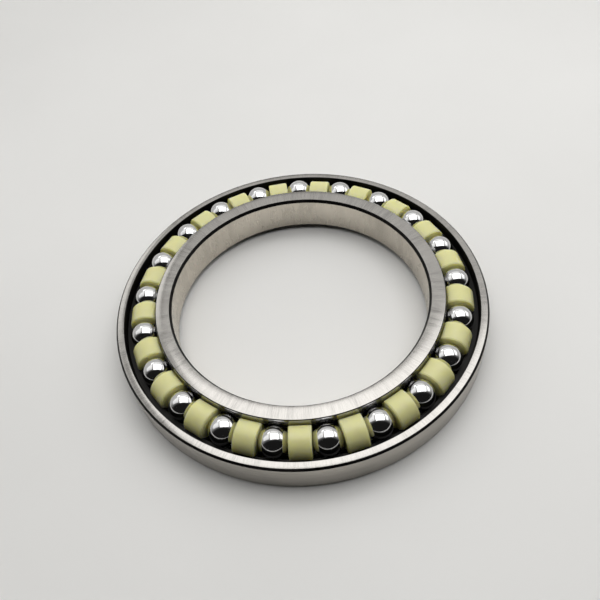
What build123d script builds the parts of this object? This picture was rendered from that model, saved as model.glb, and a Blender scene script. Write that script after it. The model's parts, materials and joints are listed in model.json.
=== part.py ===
from build123d import *
import math
import os

# A single-row ball bearing that carries thrust and radial load together, for a slow, heavy drive.
# An inner ring turns inside an outer ring on a full row of steel balls, and one loose plastic
# spacer lies between each ball and the next.
# Millimetres. +Z is the bearing's axis, and z = 0 is the outer ring's lower face.

# ---- whole bearing ---------------------------------------------------------------------------
OUTER_RADIUS = 145.0          # housing seat
BORE_RADIUS = 100.0           # shaft seat
BEARING_HEIGHT = 34.0         # over both rings
OUTER_RING_HEIGHT = 26.5
INNER_RING_BOTTOM = 3.0       # the inner ring hangs this far above the outer ring's lower face

# ---- the row of balls ------------------------------------------------------------------------
BALL_COUNT = 21
BALL_DIAMETER = 22.225        # 7/8 inch, a stock ball size
PITCH_RADIUS = 123.0
BALL_DROP = 4.2               # ball centre, below the outer ring's upper face
CONTACT_ANGLE = 30.0          # of the load line, from the bearing's radial plane
GROOVE_RATIO = 0.515          # groove radius over ball diameter
RACE_GAP = 0.2                # between ball and groove, on the load line

# ---- ring sections ---------------------------------------------------------------------------
OUTER_EDGE_CHAMFER = 1.5
OUTER_FACE_INNER_RADIUS = 138.85
OUTER_LIP_CHAMFER = 0.5
OUTER_RELIEF_CORNER = 1.2     # round between the relief's wall and its shelf
OUTER_RACE_TOP_ANGLE = -25.0  # where the outer groove starts, from the ball's equator
OUTER_RACE_LOW_ANGLE = -65.0  # where it ends, on the high shoulder
INNER_FACE_OUTER_RADIUS = 111.9
INNER_LIP_CHAMFER = 0.5
INNER_RACE_TOP_ANGLE = 33.0
INNER_RACE_LOW_ANGLE = -20.0
BORE_CHAMFER_RADIAL = 1.7
BORE_CHAMFER_AXIAL = 2.4
SHOULDER_CHAMFER = 0.8        # lower edge of either ring, beside the groove

# ---- spacers ---------------------------------------------------------------------------------
SPACER_LENGTH = 15.8
SPACER_RADIUS = 12.8
SPACER_AXIS_RADIUS = 121.6    # distance of its own axis from the bearing's axis
SPACER_AXIS_Z = 19.6
SPACER_RIM_AXIAL = 0.8
SPACER_RIM_RADIAL = 0.6
SPACER_RING_GAP = 0.4
CUP_GAP = 0.35                # between a ball and the cup in the spacer's end

BALL_RADIUS = BALL_DIAMETER / 2
BALL_Z = OUTER_RING_HEIGHT - BALL_DROP
GROOVE_RADIUS = GROOVE_RATIO * BALL_DIAMETER
BALL_STEP = 360.0 / BALL_COUNT
GROOVE_SHIFT = GROOVE_RADIUS - BALL_RADIUS - RACE_GAP


def groove_centre(side):
    """Centre of a groove's arc as (radius, z). side is +1 for the outer ring and -1 for the inner."""
    tilt = math.radians(CONTACT_ANGLE)
    radius = PITCH_RADIUS - side * GROOVE_SHIFT * math.cos(tilt)
    return radius, BALL_Z + side * GROOVE_SHIFT * math.sin(tilt)


def groove_point(side, angle):
    """Point of a groove at an angle above (+) or below (-) the groove's own centre."""
    radius, z = groove_centre(side)
    turn = math.radians(angle)
    return radius + side * GROOVE_RADIUS * math.cos(turn), z + GROOVE_RADIUS * math.sin(turn)


def outer_section():
    """Half section of the outer ring: high shoulder below the groove, open relief above it."""
    race_top = groove_point(1, OUTER_RACE_TOP_ANGLE)
    race_mid = groove_point(1, (OUTER_RACE_TOP_ANGLE + OUTER_RACE_LOW_ANGLE) / 2)
    race_low = groove_point(1, OUTER_RACE_LOW_ANGLE)
    shoulder = race_low[0]
    relief = OUTER_FACE_INNER_RADIUS - OUTER_LIP_CHAMFER
    shelf = race_top[1]
    corner = OUTER_RELIEF_CORNER
    corner_mid = corner * (1 - math.sqrt(0.5))
    with BuildSketch(Plane.XZ) as section:
        with BuildLine():
            Polyline(
                race_low,
                (shoulder, SHOULDER_CHAMFER),
                (shoulder + SHOULDER_CHAMFER, 0),
                (OUTER_RADIUS - OUTER_EDGE_CHAMFER, 0),
                (OUTER_RADIUS, OUTER_EDGE_CHAMFER),
                (OUTER_RADIUS, OUTER_RING_HEIGHT - OUTER_EDGE_CHAMFER),
                (OUTER_RADIUS - OUTER_EDGE_CHAMFER, OUTER_RING_HEIGHT),
                (OUTER_FACE_INNER_RADIUS, OUTER_RING_HEIGHT),
                (relief, OUTER_RING_HEIGHT - OUTER_LIP_CHAMFER),
                (relief, shelf + corner),
            )
            ThreePointArc(
                (relief, shelf + corner),
                (relief - corner_mid, shelf + corner_mid),
                (relief - corner, shelf),
            )
            Line((relief - corner, shelf), race_top)
            ThreePointArc(race_top, race_mid, race_low)
        make_face()
    return section.sketch


def inner_section():
    """Half section of the inner ring: its land leans out from the upper face to the groove."""
    race_top = groove_point(-1, INNER_RACE_TOP_ANGLE)
    race_mid = groove_point(-1, (INNER_RACE_TOP_ANGLE + INNER_RACE_LOW_ANGLE) / 2)
    race_low = groove_point(-1, INNER_RACE_LOW_ANGLE)
    shoulder = race_low[0]
    with BuildSketch(Plane.XZ) as section:
        with BuildLine():
            Polyline(
                race_top,
                (INNER_FACE_OUTER_RADIUS + INNER_LIP_CHAMFER, BEARING_HEIGHT - INNER_LIP_CHAMFER),
                (INNER_FACE_OUTER_RADIUS, BEARING_HEIGHT),
                (BORE_RADIUS + BORE_CHAMFER_RADIAL, BEARING_HEIGHT),
                (BORE_RADIUS, BEARING_HEIGHT - BORE_CHAMFER_AXIAL),
                (BORE_RADIUS, INNER_RING_BOTTOM + BORE_CHAMFER_AXIAL),
                (BORE_RADIUS + BORE_CHAMFER_RADIAL, INNER_RING_BOTTOM),
                (shoulder - SHOULDER_CHAMFER, INNER_RING_BOTTOM),
                (shoulder, INNER_RING_BOTTOM + SHOULDER_CHAMFER),
                race_low,
            )
            ThreePointArc(race_low, race_mid, race_top)
        make_face()
    return section.sketch


def ring(section):
    """The solid of revolution of a half section about the bearing's axis."""
    return revolve(section, axis=Axis.Z).solid()


def ball(index):
    """One ball in its place on the pitch circle. Ball 0 lies on +X."""
    place = Pos(PITCH_RADIUS, 0, BALL_Z) * Sphere(BALL_RADIUS)
    return place.rotate(Axis.Z, index * BALL_STEP).solid()


def spacer_blank():
    """A short cylinder along +Y with bevelled rims, in the middle between two balls."""
    half = SPACER_LENGTH / 2
    with BuildSketch(Plane.XY) as section:
        with BuildLine():
            Polyline(
                (0, -half),
                (SPACER_RADIUS - SPACER_RIM_RADIAL, -half),
                (SPACER_RADIUS, -half + SPACER_RIM_AXIAL),
                (SPACER_RADIUS, half - SPACER_RIM_AXIAL),
                (SPACER_RADIUS - SPACER_RIM_RADIAL, half),
                (0, half),
                close=True,
            )
        make_face()
    turned = revolve(section.sketch, axis=Axis.Y)
    return Pos(SPACER_AXIS_RADIUS, 0, SPACER_AXIS_Z) * turned


def spacer_shape(sections):
    """The spacer on +X: the blank, cupped for a ball at each end and cut clear of both rings."""
    shape = spacer_blank()
    for side in (-0.5, 0.5):
        cup = Pos(PITCH_RADIUS, 0, BALL_Z) * Sphere(BALL_RADIUS + CUP_GAP)
        shape -= cup.rotate(Axis.Z, side * BALL_STEP)
    for section in sections:
        shape -= revolve(offset(section, amount=SPACER_RING_GAP), axis=Axis.Z)
    return shape.solid()


def write(solid, node):
    """One sub-part, one file."""
    solid.label = node
    export_step(solid, os.path.join("parts", node + ".step"))


os.makedirs("parts", exist_ok=True)

outer = outer_section()
inner = inner_section()
write(ring(outer), "outer_ring")
write(ring(inner), "inner_ring")

first_spacer = spacer_shape((outer, inner))
for number in range(BALL_COUNT):
    write(ball(number), f"ball_{number + 1:02d}")
    spacer = first_spacer.rotate(Axis.Z, (number + 0.5) * BALL_STEP)
    write(spacer, f"spacer_{number + 1:02d}")
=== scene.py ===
import json
import math
import random

import bmesh
import bpy
from mathutils import Matrix, Vector
from mathutils.bvhtree import BVHTree


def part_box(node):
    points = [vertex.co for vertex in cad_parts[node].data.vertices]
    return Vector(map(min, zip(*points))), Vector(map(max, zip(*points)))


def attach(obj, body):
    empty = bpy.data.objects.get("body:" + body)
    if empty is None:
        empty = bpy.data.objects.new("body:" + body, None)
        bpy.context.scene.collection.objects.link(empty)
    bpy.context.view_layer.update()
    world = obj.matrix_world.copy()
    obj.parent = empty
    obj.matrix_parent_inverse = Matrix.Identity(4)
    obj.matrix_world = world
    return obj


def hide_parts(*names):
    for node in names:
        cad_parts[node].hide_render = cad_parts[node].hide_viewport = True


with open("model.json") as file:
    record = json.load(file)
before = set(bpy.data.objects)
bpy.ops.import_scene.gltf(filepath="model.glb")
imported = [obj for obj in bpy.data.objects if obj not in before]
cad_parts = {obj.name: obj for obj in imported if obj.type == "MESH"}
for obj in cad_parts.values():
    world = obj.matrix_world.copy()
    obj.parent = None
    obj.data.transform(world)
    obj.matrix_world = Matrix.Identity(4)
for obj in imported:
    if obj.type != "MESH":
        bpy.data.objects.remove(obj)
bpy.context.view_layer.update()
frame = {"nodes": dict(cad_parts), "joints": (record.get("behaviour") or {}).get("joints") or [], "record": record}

# ---- sizes read from the frame, in metres ------------------------------------------------------
MM = 0.001
BALLS = sorted(n for n in frame["nodes"] if n.startswith("ball_"))
SPACERS = sorted(n for n in frame["nodes"] if n.startswith("spacer_"))
OUTER_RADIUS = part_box("outer_ring")[1].x
OUTER_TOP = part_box("outer_ring")[1].z
INNER_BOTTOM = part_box("inner_ring")[0].z
INNER_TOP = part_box("inner_ring")[1].z
BORE_RADIUS = next(m["dims"]["r_mm"] for m in frame["record"]["mounts"] if m["name"] == "bore") * MM
PITCH_RADIUS = next(j["pos_m"][0] for j in frame["joints"] if j["child"] == BALLS[0])
BALL_Z = next(j["pos_m"][2] for j in frame["joints"] if j["child"] == BALLS[0])
BALL_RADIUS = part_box(BALLS[0])[1].z - BALL_Z
BALL_STEP = 2 * math.pi / len(BALLS)
BALL_DIVISIONS = 5

# ---- ring section details ----------------------------------------------------------------------
CONTACT_ANGLE = math.radians(30)
GROOVE_RATIO = 0.515          # groove radius over ball diameter
RACE_GAP = 0.2 * MM           # between ball and groove, on the load line
GROOVE_RADIUS = GROOVE_RATIO * 2 * BALL_RADIUS
GROOVE_SHIFT = GROOVE_RADIUS - BALL_RADIUS - RACE_GAP
OUTER_RACE = (math.radians(-25), math.radians(-65))
INNER_RACE = (math.radians(33), math.radians(-20))
OUTER_CHAMFER = 1.5 * MM
OUTER_FACE_INNER = 138.85 * MM
INNER_FACE_OUTER = 111.9 * MM
LIP_CHAMFER = 0.5 * MM
BORE_CHAMFER_RADIAL = 1.7 * MM
BORE_CHAMFER_AXIAL = 2.4 * MM
SHOULDER_CHAMFER = 0.8 * MM
RELIEF_CORNER = 1.2 * MM
EDGE_ROUND = 0.12 * MM        # every edge is broken by a touch
SHARP_EDGE = math.radians(50)
RING_SEGMENTS = 720
GROOVE_STEPS = 40
CORNER_STEPS = 6

# ---- spacers -----------------------------------------------------------------------------------
SPACER_AXIS = Vector((121.6 * MM, 0, 19.6 * MM))
SPACER_HALF = 7.9 * MM
SPACER_RIM = 0.8 * MM
SPACER_EDGE = 0.25 * MM       # the skin is not measured nearer to an end than this
CUP_RADIUS = BALL_RADIUS + 0.35 * MM
SPACER_AROUND = 160
SPACER_STATIONS = 13
STATION_INSET = 0.3 * MM
SPACER_SHARP_EDGE = math.radians(60)
PROBE = 30 * MM               # a ray starts this far from the spacer's axis

# ---- view and light ----------------------------------------------------------------------------
VIEW_AZIMUTH = math.radians(1.40)
VIEW_ELEVATION = math.radians(51.17)
VIEW_PITCH = math.radians(51.50)
VIEW_ROLL = math.radians(-7.58)
VIEW_DISTANCE = 0.5178
LENS = 39.58
CEILING = 1.2                 # height of the light panels
FLOOR_REACH = 6.0
ROOM_FRONT = 0.012            # brightness of the room on the camera's side, and behind the object
ROOM_BACK = 0.60
ROOM_BLEND = 0.35

rng = random.Random(21)


# ==== mesh helpers ==============================================================================
def rounded(before, corner, after, radius, steps=3):
    """A corner of an outline replaced by a small curve, as points."""
    here, back, on = Vector(corner), Vector(before), Vector(after)
    to_back, to_on = (back - here).normalized(), (on - here).normalized()
    half = to_back.angle(to_on) / 2
    cut = min(radius / math.tan(half), (back - here).length / 3, (on - here).length / 3)
    start, end = here + to_back * cut, here + to_on * cut
    points = []
    for i in range(steps + 1):
        t = i / steps
        points.append(tuple((1 - t) ** 2 * start + 2 * t * (1 - t) * here + t * t * end))
    return points


def outline(runs):
    """Closed half section from runs of (finish, points), as points and the finish of each edge.

    A run of one point is a corner, and is rounded. A longer run is a curve, and is kept."""
    flat = [(finish, point, len(points) > 1) for finish, points in runs for point in points]
    points, finishes = [], []
    for i, (finish, here, on_curve) in enumerate(flat):
        before, after = flat[i - 1][1], flat[(i + 1) % len(flat)][1]
        made = [here] if on_curve else rounded(before, here, after, EDGE_ROUND)
        points += made
        finishes += [finish] * len(made)
    return points, finishes


def lathe(name, runs, finish_materials):
    """A closed ring turned from a half section, with one material for each finish."""
    points, finishes = outline(runs)
    order = list(finish_materials)
    work = bmesh.new()
    sections = []
    for k in range(RING_SEGMENTS):
        turn = 2 * math.pi * k / RING_SEGMENTS
        c, s = math.cos(turn), math.sin(turn)
        sections.append([work.verts.new((r * c, r * s, z)) for r, z in points])
    for k in range(RING_SEGMENTS):
        here, there = sections[k], sections[(k + 1) % RING_SEGMENTS]
        for i in range(len(points)):
            j = (i + 1) % len(points)
            face = work.faces.new((here[i], there[i], there[j], here[j]))
            face.material_index = order.index(finishes[i])
            face.smooth = True
    bmesh.ops.recalc_face_normals(work, faces=work.faces)
    mesh = bpy.data.meshes.new(name)
    work.to_mesh(mesh)
    work.free()
    mesh.set_sharp_from_angle(angle=SHARP_EDGE)
    for finish in order:
        mesh.materials.append(finish_materials[finish])
    return shown(name, mesh)


def shown(name, mesh):
    """An object of that mesh, in the scene."""
    made = bpy.data.objects.new(name, mesh)
    bpy.context.scene.collection.objects.link(made)
    return made


def groove(side, start, end):
    """Points of a ball groove's arc. side is +1 for the outer ring and -1 for the inner."""
    across = PITCH_RADIUS - side * GROOVE_SHIFT * math.cos(CONTACT_ANGLE)
    height = BALL_Z + side * GROOVE_SHIFT * math.sin(CONTACT_ANGLE)
    points = []
    for i in range(GROOVE_STEPS + 1):
        turn = start + (end - start) * i / GROOVE_STEPS
        points.append((
            across + side * GROOVE_RADIUS * math.cos(turn),
            height + GROOVE_RADIUS * math.sin(turn),
        ))
    return points


# ==== material helpers ==========================================================================
class Nodes:
    """A small builder for one material's node tree."""

    def __init__(self, name):
        self.material = bpy.data.materials.new(name)
        self.material.use_nodes = True
        self.tree = self.material.node_tree
        self.shader = self.tree.nodes["Principled BSDF"]

    def add(self, kind, **settings):
        node = self.tree.nodes.new(kind)
        for key, value in settings.items():
            if key in node.bl_rna.properties:
                setattr(node, key, value)
            else:
                node.inputs[key.replace("_", " ")].default_value = value
        return node

    def link(self, source, target):
        self.tree.links.new(source, target)

    def math(self, operation, first, second=None):
        node = self.tree.nodes.new("ShaderNodeMath")
        node.operation = operation
        for socket, value in zip(node.inputs, (first, second)):
            if value is None:
                continue
            if isinstance(value, (int, float)):
                socket.default_value = value
            else:
                self.link(value, socket)
        return node.outputs[0]

    def place(self):
        return self.add("ShaderNodeTexCoord").outputs["Object"]

    def combine(self, x, y, z):
        node = self.tree.nodes.new("ShaderNodeCombineXYZ")
        for socket, value in zip(node.inputs, (x, y, z)):
            if isinstance(value, (int, float)):
                socket.default_value = value
            else:
                self.link(value, socket)
        return node.outputs[0]

    def round_place(self, around, across, up):
        """Coordinates that run round the Z axis with no seam, scaled by cycles per radian and per metre."""
        split = self.tree.nodes.new("ShaderNodeSeparateXYZ")
        self.link(self.place(), split.inputs[0])
        x, y, z = split.outputs
        square = self.math("ADD", self.math("MULTIPLY", x, x), self.math("MULTIPLY", y, y))
        radius = self.math("SQRT", square)
        along = self.math("ADD", self.math("MULTIPLY", radius, across), self.math("MULTIPLY", z, up))
        return self.combine(
            self.math("MULTIPLY", self.math("DIVIDE", x, radius), around),
            self.math("MULTIPLY", self.math("DIVIDE", y, radius), around),
            along,
        )

    def noise(self, where, scale=1.0, detail=3.0, roughness=0.55):
        node = self.add("ShaderNodeTexNoise", Scale=scale, Detail=detail, Roughness=roughness)
        self.link(where, node.inputs["Vector"])
        return node.outputs[0]

    def spread(self, value, low, high, from_low=0.3, from_high=0.7):
        node = self.add("ShaderNodeMapRange")
        self.link(value, node.inputs[0])
        for socket, number in zip(node.inputs[1:5], (from_low, from_high, low, high)):
            socket.default_value = number
        return node.outputs[0]

    def colours(self, value, stops):
        node = self.tree.nodes.new("ShaderNodeValToRGB")
        ramp = node.color_ramp
        while len(ramp.elements) < len(stops):
            ramp.elements.new(0.5)
        for element, (at, colour) in zip(ramp.elements, stops):
            element.position = at
            element.color = (*colour, 1)
        self.link(value, node.inputs[0])
        return node.outputs[0]

    def bump(self, height, strength, distance, before=None):
        node = self.add("ShaderNodeBump", Strength=strength, Distance=distance)
        self.link(height, node.inputs["Height"])
        if before is not None:
            self.link(before, node.inputs["Normal"])
        return node.outputs[0]

    def finish(self, **sockets):
        for key, value in sockets.items():
            socket = self.shader.inputs[key.replace("_", " ")]
            if isinstance(value, bpy.types.NodeSocket):
                self.link(value, socket)
            else:
                socket.default_value = value
        return self.material


def grey(value, warm=0.0):
    """A grey of that value, warmed by a little more red and less blue."""
    return (value * (1 + warm), value, value * (1 - 1.6 * warm))


def ground_steel(name, lay, tone, warm, rough, streak):
    """Ground bearing steel. lay is (cycles round, per metre across, per metre up) of its grinding marks."""
    n = Nodes(name)
    marks = n.noise(n.round_place(*lay), detail=4, roughness=0.62)
    coarse = n.noise(n.round_place(lay[0] / 7, lay[1] / 7, lay[2] / 7), detail=2)
    cloud = n.noise(n.place(), scale=22, detail=3)
    both = n.math("ADD", n.math("MULTIPLY", marks, 0.55), n.math("MULTIPLY", coarse, 0.45))
    shade = n.math("ADD", n.math("MULTIPLY", both, streak), n.math("MULTIPLY", cloud, 1 - streak))
    colour = n.colours(shade, [
        (0.33, grey(tone * 0.72, warm)),
        (0.5, grey(tone, warm)),
        (0.67, grey(tone * 1.15, warm)),
    ])
    return n.finish(
        Base_Color=colour,
        Metallic=1.0,
        Roughness=n.spread(both, rough * 0.82, rough * 1.25),
        Anisotropic=0.45,
        Normal=n.bump(both, 0.25, 0.00003),
    )


def near_black_steel(name, tone, rough, lay):
    """Turned steel in a near-black tone, as on chamfers and in the relief."""
    n = Nodes(name)
    marks = n.noise(n.round_place(*lay), detail=3)
    cloud = n.noise(n.place(), scale=60, detail=4)
    mixed = n.math("MULTIPLY", n.math("ADD", marks, cloud), 0.5)
    colour = n.colours(mixed, [
        (0.35, grey(tone * 0.6, 0.02)),
        (0.52, grey(tone, 0.03)),
        (0.68, grey(tone * 1.9, 0.05)),
    ])
    return n.finish(
        Base_Color=colour,
        Metallic=0.85,
        Roughness=n.spread(cloud, rough * 0.8, rough * 1.3),
        Normal=n.bump(marks, 0.3, 0.00003),
    )


def polished_steel(name, tone, rough, lay):
    """Superfinished steel of the grooves and lands."""
    n = Nodes(name)
    marks = n.noise(n.round_place(*lay), detail=3)
    haze = n.noise(n.place(), scale=90, detail=3)
    colour = n.colours(haze, [(0.3, grey(tone * 0.85, 0.01)), (0.7, grey(tone, 0.01))])
    return n.finish(
        Base_Color=colour,
        Metallic=1.0,
        Roughness=n.spread(haze, rough * 0.7, rough * 1.5),
        Normal=n.bump(marks, 0.06, 0.00001),
    )


def ball_steel():
    """Mirror-polished balls with a breath of haze and hairline marks."""
    n = Nodes("ball_steel")
    haze = n.noise(n.place(), scale=160, detail=4)
    hairs = n.noise(n.place(), scale=900, detail=2)
    colour = n.colours(haze, [(0.3, grey(0.66)), (0.7, grey(0.74))])
    return n.finish(
        Base_Color=colour,
        Metallic=1.0,
        Roughness=n.spread(haze, 0.07, 0.12),
        Normal=n.bump(hairs, 0.04, 0.000005),
    )


def nylon():
    """Natural moulded nylon, slightly yellow-green, semi-gloss, with light passing a little way in."""
    n = Nodes("spacer_plastic")
    cloud = n.noise(n.place(), scale=55, detail=4)
    grain = n.noise(n.place(), scale=1500, detail=3)
    turned = n.add("ShaderNodeMapping")
    n.link(n.place(), turned.inputs["Vector"])
    turned.inputs["Scale"].default_value = (260, 2600, 260)
    drawn = n.noise(turned.outputs[0], detail=2)
    colour = n.colours(cloud, [
        (0.25, (0.69, 0.67, 0.33)),
        (0.5, (0.72, 0.70, 0.36)),
        (0.75, (0.76, 0.74, 0.40)),
    ])
    return n.finish(
        Base_Color=colour,
        Roughness=n.spread(cloud, 0.26, 0.40),
        Subsurface_Weight=0.85,
        Subsurface_Radius=(1.0, 0.92, 0.28),
        Subsurface_Scale=0.009,
        Specular_IOR_Level=0.5,
        Normal=n.bump(drawn, 0.10, 0.00003, n.bump(grain, 0.12, 0.00002)),
    )


# ==== the two rings =============================================================================
# The lay of grinding marks: cycles round, per metre across, per metre up.
FACE_LAY = (120, 90, 90)
SEAT_LAY = (2.5, 2600, 2600)
BORE_LAY = (14, 40, 40)
face_steel = ground_steel("ring_face_steel", FACE_LAY, 0.30, 0.035, 0.15, 0.75)
seat_steel = ground_steel("ring_seat_steel", SEAT_LAY, 0.42, 0.06, 0.30, 0.50)
bore_steel = ground_steel("ring_bore_steel", BORE_LAY, 0.56, 0.085, 0.26, 0.55)
# near-black tone for the chamfers and the relief
dark_steel = near_black_steel("ring_dark_steel", 0.012, 0.42, SEAT_LAY)
land_steel = polished_steel("ring_land_steel", 0.38, 0.22, SEAT_LAY)
race_steel = polished_steel("ring_race_steel", 0.20, 0.14, SEAT_LAY)
RING_FINISHES = {
    "face": face_steel,
    "seat": seat_steel,
    "bore": bore_steel,
    "dark": dark_steel,
    "land": land_steel,
    "race": race_steel,
}


def outer_ring():
    """High shoulder below the groove, open relief above it."""
    race = groove(1, *OUTER_RACE)
    shoulder, shelf = race[-1][0], race[0][1]
    wall = OUTER_FACE_INNER - LIP_CHAMFER
    corner = []
    for i in range(CORNER_STEPS + 1):
        turn = math.pi / 2 * i / CORNER_STEPS
        corner.append((
            wall - RELIEF_CORNER * (1 - math.cos(turn)),
            shelf + RELIEF_CORNER * (1 - math.sin(turn)),
        ))
    return lathe("ground_outer_ring", [
        ("dark", [(shoulder, SHOULDER_CHAMFER)]),
        ("face", [(shoulder + SHOULDER_CHAMFER, 0)]),
        ("dark", [(OUTER_RADIUS - OUTER_CHAMFER, 0)]),
        ("seat", [(OUTER_RADIUS, OUTER_CHAMFER)]),
        ("dark", [(OUTER_RADIUS, OUTER_TOP - OUTER_CHAMFER)]),
        ("face", [(OUTER_RADIUS - OUTER_CHAMFER, OUTER_TOP)]),
        ("dark", [(OUTER_FACE_INNER, OUTER_TOP)]),
        ("dark", [(wall, OUTER_TOP - LIP_CHAMFER)]),
        ("dark", corner),
        ("race", race),
    ], RING_FINISHES)


def inner_ring():
    """Its land leans out from the upper face to the groove."""
    race = groove(-1, *INNER_RACE)
    shoulder = race[-1][0]
    return lathe("ground_inner_ring", [
        ("race", race),
        ("dark", [(shoulder, INNER_BOTTOM + SHOULDER_CHAMFER)]),
        ("face", [(shoulder - SHOULDER_CHAMFER, INNER_BOTTOM)]),
        ("dark", [(BORE_RADIUS + BORE_CHAMFER_RADIAL, INNER_BOTTOM)]),
        ("bore", [(BORE_RADIUS, INNER_BOTTOM + BORE_CHAMFER_AXIAL)]),
        ("dark", [(BORE_RADIUS, INNER_TOP - BORE_CHAMFER_AXIAL)]),
        ("face", [(BORE_RADIUS + BORE_CHAMFER_RADIAL, INNER_TOP)]),
        ("dark", [(INNER_FACE_OUTER, INNER_TOP)]),
        ("land", [(INNER_FACE_OUTER + LIP_CHAMFER, INNER_TOP - LIP_CHAMFER)]),
    ], RING_FINISHES)


for made, node in ((outer_ring(), "outer_ring"), (inner_ring(), "inner_ring")):
    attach(made, node)
    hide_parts(node)


# ==== balls =====================================================================================
def ball_mesh():
    """One polished ball, centred on its own origin. All the balls share it."""
    work = bmesh.new()
    bmesh.ops.create_icosphere(work, subdivisions=BALL_DIVISIONS, radius=BALL_RADIUS)
    for face in work.faces:
        face.smooth = True
    mesh = bpy.data.meshes.new("polished_ball")
    work.to_mesh(mesh)
    work.free()
    mesh.materials.append(ball_steel())
    return mesh


shared_ball = ball_mesh()
for index, node in enumerate(BALLS):
    ball = shown("polished_" + node, shared_ball)
    turn = Matrix.Rotation(index * BALL_STEP, 4, "Z")
    twist = Matrix.Rotation(rng.uniform(0, math.pi), 4, "Z")
    ball.matrix_world = turn @ Matrix.Translation((PITCH_RADIUS, 0, BALL_Z)) @ twist
    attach(ball, node)
    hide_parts(node)


# ==== spacers ===================================================================================
def spacer_probe():
    """A function giving the distance from the spacer's axis to its CAD skin, in the place on +X."""
    solid = frame["nodes"][SPACERS[0]].data
    tree = BVHTree.FromPolygons([v.co for v in solid.vertices], [p.vertices for p in solid.polygons])
    to_place = Matrix.Rotation(BALL_STEP / 2, 4, "Z")

    def reach(along, turn):
        way = Vector((math.cos(turn), 0, math.sin(turn)))
        start = SPACER_AXIS + Vector((0, along, 0)) + way * PROBE
        hit = tree.ray_cast(to_place @ start, to_place.to_3x3() @ -way)
        return PROBE - hit[3]

    return reach


def cup_depth(point):
    """How far a ball's cup cuts below the flat of the end, at a point of the end."""
    centre = Matrix.Rotation(BALL_STEP / 2, 3, "Z") @ Vector((PITCH_RADIUS, 0, BALL_Z))
    off = math.hypot(point.x - centre.x, point.z - centre.z)
    if off >= CUP_RADIUS:
        return 0.0
    return max(0.0, SPACER_HALF - (centre.y - math.sqrt(CUP_RADIUS * CUP_RADIUS - off * off)))


def spacer_stations():
    """Places along the spacer where its skin is measured: evenly between the rims, and closely on them."""
    flat = SPACER_HALF - SPACER_RIM
    step = 2 * (flat - STATION_INSET) / (SPACER_STATIONS - 1)
    stations = [-flat + STATION_INSET + i * step for i in range(SPACER_STATIONS)]
    for side in (-1, 1):
        stations += [side * (flat + SPACER_RIM * 0.97 * t) for t in (0.0, 0.25, 0.5, 0.75, 1.0)]
    return sorted(set(round(s, 7) for s in stations))


def spacer_row(reach, along):
    """The closed row of skin points at one station, softened a little round the spacer."""
    turns = [2 * math.pi * k / SPACER_AROUND for k in range(SPACER_AROUND)]
    measured = max(SPACER_EDGE - SPACER_HALF, min(SPACER_HALF - SPACER_EDGE, along))
    row = [reach(measured, turn) for turn in turns]
    points = []
    for k, turn in enumerate(turns):
        soft = (row[k - 1] + 2 * row[k] + row[(k + 1) % SPACER_AROUND]) / 4
        points.append(SPACER_AXIS + Vector((soft * math.cos(turn), along, soft * math.sin(turn))))
    return points


def bridge(work, first, second):
    """Faces between two closed rows of vertices."""
    for k in range(SPACER_AROUND):
        j = (k + 1) % SPACER_AROUND
        work.faces.new((first[k], first[j], second[j], second[k]))


def spacer_end(work, side, skin, row):
    """Closes one end: a flat rim, then the cup down to its middle."""
    cup_axis = Vector((math.cos(BALL_STEP / 2) * PITCH_RADIUS, side * SPACER_HALF, BALL_Z))
    to_ball = math.sin(BALL_STEP / 2) * PITCH_RADIUS - SPACER_HALF
    mouth = math.sqrt(CUP_RADIUS ** 2 - to_ball ** 2)
    across_rim = [(1.0, outward) for outward in (0.97, 0.6, 0.3, 0.08, 0.0)]
    down_cup = [(inward, 0) for inward in (0.94, 0.85, 0.7, 0.5, 0.25)]
    last = skin
    for of_mouth, outward in across_rim + down_cup:
        loop = []
        for skin_point in row:
            outer = Vector((skin_point.x, side * SPACER_HALF, skin_point.z))
            way = (outer - cup_axis).normalized()
            point = (cup_axis + way * mouth * of_mouth).lerp(outer, outward)
            point.y = side * (SPACER_HALF - cup_depth(point))
            loop.append(work.verts.new(point))
        bridge(work, last, loop)
        last = loop
    tip = work.verts.new(cup_axis - Vector((0, side * cup_depth(cup_axis), 0)))
    for k in range(SPACER_AROUND):
        work.faces.new((last[k], last[(k + 1) % SPACER_AROUND], tip))


def spacer_mesh():
    """The moulded spacer on +X, measured from its CAD solid and given soft, moulded edges."""
    reach = spacer_probe()
    work = bmesh.new()
    rows = [spacer_row(reach, along) for along in spacer_stations()]
    skins = [[work.verts.new(p) for p in row] for row in rows]
    for first, second in zip(skins, skins[1:]):
        bridge(work, first, second)
    spacer_end(work, -1, skins[0], rows[0])
    spacer_end(work, 1, skins[-1], rows[-1])
    bmesh.ops.recalc_face_normals(work, faces=work.faces)
    for face in work.faces:
        face.smooth = True
    mesh = bpy.data.meshes.new("moulded_spacer")
    work.to_mesh(mesh)
    work.free()
    mesh.set_sharp_from_angle(angle=SPACER_SHARP_EDGE)
    mesh.materials.append(nylon())
    return mesh


shared_spacer = spacer_mesh()
for index, node in enumerate(SPACERS):
    spacer = shown("moulded_" + node, shared_spacer)
    spacer.matrix_world = Matrix.Rotation((index + 0.5) * BALL_STEP, 4, "Z")
    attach(spacer, "spacer_train")
    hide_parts(node)


# ==== floor, light and camera ===================================================================
def floor():
    """Plain pale paper under the bearing."""
    mesh = bpy.data.meshes.new("floor")
    corners = [(x * FLOOR_REACH, y * FLOOR_REACH, 0) for x, y in ((-1, -1), (1, -1), (1, 1), (-1, 1))]
    mesh.from_pydata(corners, [], [(0, 1, 2, 3)])
    n = Nodes("floor_paper")
    cloud = n.noise(n.place(), scale=3, detail=3)
    fibre = n.noise(n.place(), scale=700, detail=2)
    colour = n.colours(cloud, [(0.3, (0.78, 0.775, 0.755)), (0.7, (0.82, 0.815, 0.795))])
    mesh.materials.append(n.finish(Base_Color=colour, Roughness=0.75, Normal=n.bump(fibre, 0.1, 0.0001)))
    made = shown("floor", mesh)


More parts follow.
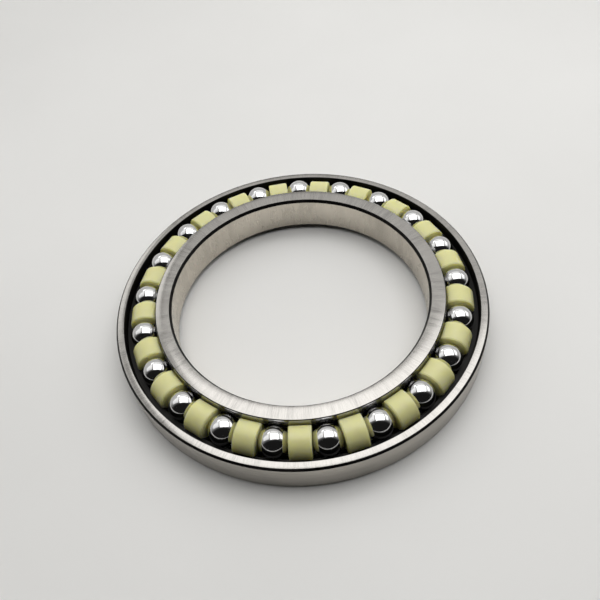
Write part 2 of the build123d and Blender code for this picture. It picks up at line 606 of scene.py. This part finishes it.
def panel(name, low, high, brightness):
    """A soft rectangular light on the ceiling that faces down, from its low to its high corner."""
    lamp = bpy.data.lights.new(name, "AREA")
    lamp.shape = "RECTANGLE"
    lamp.size = high[0] - low[0]
    lamp.size_y = high[1] - low[1]
    area = lamp.size * lamp.size_y
    lamp.energy = brightness * area * math.pi
    made = bpy.data.objects.new(name, lamp)
    made.location = ((low[0] + high[0]) / 2, (low[1] + high[1]) / 2, CEILING)
    bpy.context.scene.collection.objects.link(made)
    return made


def room():
    """Pale behind and beside the object, dark on the camera's side, as the balls reflect it."""
    world = bpy.data.worlds.new("room")
    bpy.context.scene.world = world
    world.use_nodes = True
    tree = world.node_tree
    back = tree.nodes["Background"]
    place = tree.nodes.new("ShaderNodeTexCoord")
    split = tree.nodes.new("ShaderNodeSeparateXYZ")
    tree.links.new(place.outputs["Generated"], split.inputs[0])
    ramp = tree.nodes.new("ShaderNodeMapRange")
    ramp.interpolation_type = "SMOOTHSTEP"
    tree.links.new(split.outputs[1], ramp.inputs[0])
    for socket, number in zip(ramp.inputs[1:5], (-ROOM_BLEND, ROOM_BLEND, ROOM_FRONT, ROOM_BACK)):
        socket.default_value = number
    tree.links.new(ramp.outputs[0], back.inputs["Strength"])
    back.inputs["Color"].default_value = (1.0, 0.99, 0.97, 1)
    path = tree.nodes.new("ShaderNodeLightPath")
    pale = tree.nodes.new("ShaderNodeBackground")
    pale.inputs["Color"].default_value = (0.74, 0.735, 0.72, 1)
    choose = tree.nodes.new("ShaderNodeMixShader")
    tree.links.new(path.outputs["Is Camera Ray"], choose.inputs[0])
    tree.links.new(back.outputs[0], choose.inputs[1])
    tree.links.new(pale.outputs[0], choose.inputs[2])
    tree.links.new(choose.outputs[0], tree.nodes["World Output"].inputs["Surface"])


def camera():
    """A lens near the bearing, looking down on it from the front."""
    data = bpy.data.cameras.new("camera")
    data.sensor_width = 36
    data.lens = LENS
    data.clip_start, data.clip_end = 0.01, 50
    made = bpy.data.objects.new("camera", data)
    bpy.context.scene.collection.objects.link(made)
    flat = VIEW_DISTANCE * math.cos(VIEW_ELEVATION)
    place = Vector((flat * math.sin(VIEW_AZIMUTH), -flat * math.cos(VIEW_AZIMUTH),
                    OUTER_TOP + VIEW_DISTANCE * math.sin(VIEW_ELEVATION)))
    look = (Matrix.Rotation(VIEW_AZIMUTH, 4, "Z") @ Matrix.Rotation(math.pi / 2 - VIEW_PITCH, 4, "X")
            @ Matrix.Rotation(VIEW_ROLL, 4, "Z"))
    made.matrix_world = Matrix.Translation(place) @ look
    bpy.context.scene.camera = made


floor()
room()
panel("ceiling_back", (-0.42, 0.88), (1.06, 1.60), 0.5)
panel("ceiling_back_left", (-1.00, 0.88), (-0.50, 1.45), 1.5)
panel("ceiling_middle", (-0.42, 0.25), (1.06, 0.76), 2.3)
panel("ceiling_front", (-0.42, -0.30), (1.06, 0.20), 2.2)
panel("ceiling_right", (1.38, -0.2), (3.0, 1.2), 1.1)
panel("ceiling_left", (-3.0, -0.2), (-0.62, 0.80), 0.62)
camera()
bpy.context.scene.view_settings.view_transform = "Standard"
